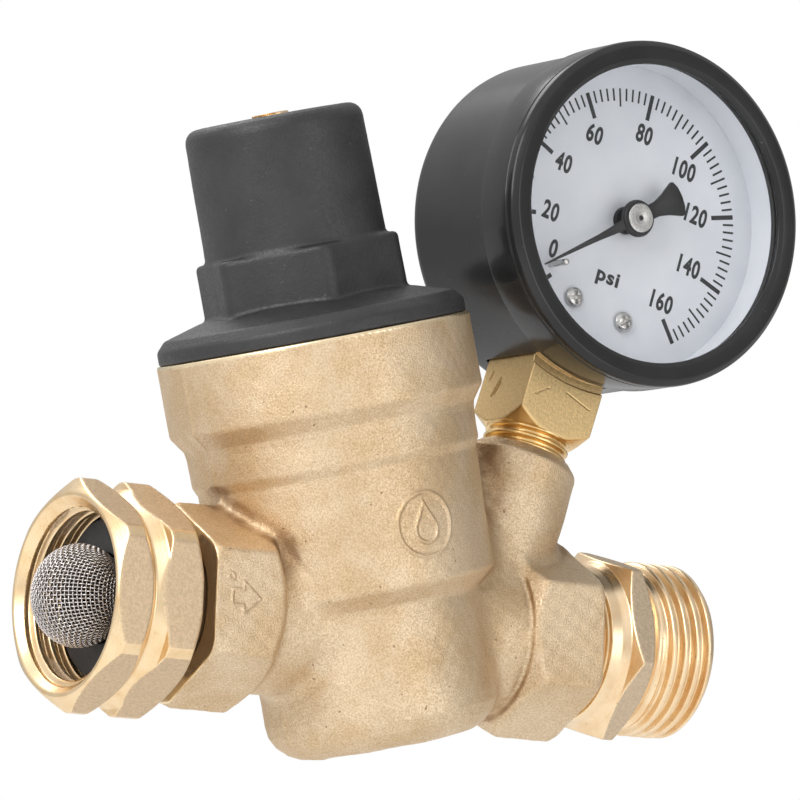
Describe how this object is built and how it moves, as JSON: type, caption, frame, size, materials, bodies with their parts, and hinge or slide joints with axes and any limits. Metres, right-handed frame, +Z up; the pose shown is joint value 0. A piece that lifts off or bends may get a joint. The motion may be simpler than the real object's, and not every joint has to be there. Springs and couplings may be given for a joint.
{
  "type": "water pressure regulator",
  "caption": "Brass water pressure regulator with hose-thread swivel inlet and male outlet, mesh inlet filter, black bonnet with adjusting screw, and dial gauge on an angled stem.",
  "frame": {"origin": "centre of the open face of the inlet swivel nut, on the pipe axis", "axes": "+X along the pipe axis from inlet to outlet, +Z up on the bonnet and gauge side, the dial faces -Y"},
  "size_m": [0.1233, 0.048, 0.1133],
  "materials": {
    "cast_brass": "sand-cast and blasted, matte",
    "machined_brass": "turned, bright",
    "thread_brass": "turned, golden",
    "movement_brass": "stamped",
    "bonnet_plastic": "fine moulded texture",
    "case_enamel": "satin black enamel",
    "dial_white": "matte white",
    "pointer_black": "satin black",
    "lens_clear": "clear, polished",
    "stainless": "bright",
    "mesh_steel": "woven wire",
    "spring_steel": "dull wire",
    "rubber": "matte black"
  },
  "bodies": {
    "regulator_body": {"valve_body": "cast_brass", "inlet_tailpiece": "machined_brass", "outlet_adapter": "machined_brass", "valve_seat": "machined_brass", "diaphragm": "rubber", "slip_ring": "stainless", "bonnet_oring": "rubber", "bonnet": "bonnet_plastic", "bonnet_insert": "machined_brass", "regulating_spring": "spring_steel", "gauge_socket": "thread_brass", "gauge_case": "case_enamel", "case_vent_plug": "rubber", "gauge_bezel": "case_enamel", "gauge_lens": "lens_clear", "lens_gasket": "rubber", "dial_ring": "dial_white", "gauge_dial": "dial_white", "dial_screw_left": "stainless", "dial_screw_right": "stainless", "zero_stop_pin": "stainless", "movement_front_plate": "movement_brass", "movement_rear_plate": "movement_brass", "movement_pillar_1": "movement_brass", "movement_pillar_2": "movement_brass", "movement_pillar_3": "movement_brass", "bourdon_tube": "movement_brass", "hairspring": "spring_steel"},
    "inlet_nut": {"swivel_nut": "machined_brass"},
    "inlet_filter": {"inlet_washer": "rubber", "filter_screen": "mesh_steel"},
    "poppet": {"stem": "stainless", "valve_disc": "rubber", "disc_holder": "machined_brass", "disc_nut": "machined_brass", "lower_plate": "machined_brass", "upper_plate": "stainless", "stem_nut": "machined_brass"},
    "spring_seat": {"spring_button": "machined_brass"},
    "screw": {"adjusting_screw": "machined_brass"},
    "sector": {"sector_gear": "movement_brass"},
    "link": {"gauge_link": "movement_brass"},
    "needle": {"pointer": "pointer_black", "pointer_cap": "stainless", "pointer_arbor": "stainless"}
  },
  "joints": [
    {"name": "nut_spin", "type": "hinge", "parent": "regulator_body", "child": "inlet_nut", "pos_m": [0.007, 0, 0], "axis": [1, 0, 0], "continuous": true},
    {"name": "filter_pull", "type": "slide", "parent": "regulator_body", "child": "inlet_filter", "axis": [-1, 0, 0], "range_m": [0, 0.03]},
    {"name": "poppet_slide", "type": "slide", "parent": "regulator_body", "child": "poppet", "axis": [-0.2588, 0, 0.9659], "range_m": [0, 0.0015], "stiffness_N_per_m": 2000, "springref_m": -0.003, "deforming": ["diaphragm", "regulating_spring"]},
    {"name": "button_slide", "type": "slide", "parent": "regulator_body", "child": "spring_seat", "axis": [0.2588, 0, -0.9659], "range_m": [0, 0.006]},
    {"name": "screw_turn", "type": "hinge", "parent": "spring_seat", "child": "screw", "pos_m": [0.03607, 0, 0.06319], "axis": [0.2588, 0, -0.9659], "range_deg": [0, 1440]},
    {"name": "sector_swing", "type": "hinge", "parent": "regulator_body", "child": "sector", "pos_m": [0.09749, 0, 0.05436], "axis": [0, -1, 0], "range_deg": [0, 54], "stiffness_Nm_per_rad": 0.001, "springref_deg": -22.92, "deforming": ["bourdon_tube", "hairspring"]},
    {"name": "link_turn", "type": "hinge", "parent": "sector", "child": "link", "pos_m": [0.10076, 0, 0.05205], "axis": [0, -1, 0], "range_deg": [-54, 0]},
    {"name": "pointer_turn", "type": "hinge", "parent": "regulator_body", "child": "needle", "pos_m": [0.09189, 0, 0.06497], "axis": [0, 1, 0], "range_deg": [0, 270]}
  ],
  "couplings": [
    {"joint": "screw_turn", "follows": "button_slide", "rad_per_m": 4188.8},
    {"joint": "pointer_turn", "follows": "sector_swing", "ratio": 5},
    {"joint": "link_turn", "follows": "sector_swing", "ratio": -1}
  ]
}
